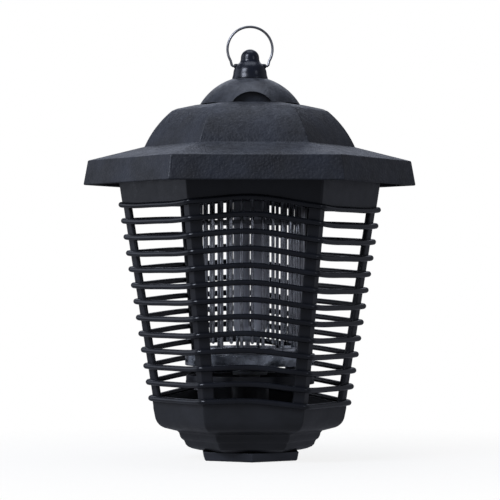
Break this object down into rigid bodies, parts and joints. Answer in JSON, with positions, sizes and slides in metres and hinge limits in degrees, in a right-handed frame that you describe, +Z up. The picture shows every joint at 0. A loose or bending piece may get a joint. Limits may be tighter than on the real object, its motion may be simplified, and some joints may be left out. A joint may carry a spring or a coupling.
{
  "type": "electric bug zapper",
  "caption": "Lantern-style hanging bug zapper: domed hexagonal roof with wide brim, tapered cage of arched rails, wire killing grids round a lamp, catch bowl, twist-lock cap and hanging ring.",
  "frame": {"origin": "middle of the foot's underside, which is the bottom centre of the part's box", "axes": "+Z up through the hanging ring, front towards -Y, corners of the six-sided body on +X and -X"},
  "size_m": [0.262, 0.2268, 0.3407],
  "materials": {
    "roof_plastic": "black moulded plastic with a fine grain",
    "cage_plastic": "black moulded plastic, satin",
    "bowl_plastic": "black moulded plastic with a light grain",
    "gloss_black": "polished black plastic",
    "ring_steel": "dull bent wire",
    "fixing_steel": "zinc plated",
    "rubber_black": "soft black rubber",
    "inner_plastic": "black moulded plastic",
    "grid_steel": "bright drawn wire",
    "insulator_grey": "grey moulded plastic",
    "insulator_clear": "smoky glossy plastic",
    "spacer_grey": "grey moulded plastic",
    "lamp_glass": "frosted lamp glass",
    "lamp_grey": "grey moulded plastic",
    "chassis_zinc": "zinc plated sheet",
    "core_steel": "varnished laminations",
    "coil_copper": "enamelled copper winding",
    "board_green": "green circuit board",
    "capacitor_sleeve": "blue plastic sleeve"
  },
  "bodies": {
    "housing": {"roof_shell": "roof_plastic", "cupola_cap": "roof_plastic", "cage_collar": "cage_plastic", "corner_post_1": "cage_plastic", "corner_post_2": "cage_plastic", "corner_post_3": "cage_plastic", "corner_post_4": "cage_plastic", "corner_post_5": "cage_plastic", "corner_post_6": "cage_plastic", "guard_rail_01": "cage_plastic", "guard_rail_02": "cage_plastic", "guard_rail_03": "cage_plastic", "guard_rail_04": "cage_plastic", "guard_rail_05": "cage_plastic", "guard_rail_06": "cage_plastic", "guard_rail_07": "cage_plastic", "guard_rail_08": "cage_plastic", "guard_rail_09": "cage_plastic", "guard_rail_10": "cage_plastic", "guard_rail_11": "cage_plastic", "guard_rail_12": "cage_plastic", "guard_rail_13": "cage_plastic", "base_bowl": "bowl_plastic", "finial": "gloss_black", "finial_washer": "fixing_steel", "finial_nut": "fixing_steel", "tie_rod_1": "fixing_steel", "tie_rod_2": "fixing_steel", "tie_rod_3": "fixing_steel", "tie_nut_1": "fixing_steel", "tie_nut_2": "fixing_steel", "tie_nut_3": "fixing_steel", "chassis_screw_1": "fixing_steel", "chassis_screw_2": "fixing_steel", "chassis_screw_3": "fixing_steel", "transformer_screw_1": "fixing_steel", "transformer_screw_2": "fixing_steel", "board_standoff_1": "fixing_steel", "board_standoff_2": "fixing_steel", "cord_gland": "rubber_black", "lower_plate": "inner_plastic", "lower_column": "inner_plastic", "live_wires": "grid_steel", "return_wires": "grid_steel", "upper_insulator": "insulator_grey", "wire_holder": "insulator_grey", "lower_insulator": "insulator_clear", "insulator_spacer": "spacer_grey", "lamp_tube": "lamp_glass", "lamp_base": "lamp_grey", "lamp_socket": "lamp_grey", "chassis_plate": "chassis_zinc", "transformer_core": "core_steel", "transformer_coil": "coil_copper", "circuit_board": "board_green", "capacitor_1": "capacitor_sleeve", "capacitor_2": "capacitor_sleeve"},
    "ring": {"hanging_ring": "ring_steel"},
    "cap": {"clean_out_cap": "bowl_plastic", "cap_seal": "rubber_black"}
  },
  "joints": [
    {"name": "ring_swing", "type": "hinge", "parent": "housing", "child": "ring", "pos_m": [0, 0, 0.3086], "axis": [1, 0, 0], "range_deg": [-105, 105]},
    {"name": "cap_twist", "type": "hinge", "parent": "housing", "child": "cap", "pos_m": [0, 0, 0], "axis": [0, 0, 1], "range_deg": [0, 30]}
  ]
}
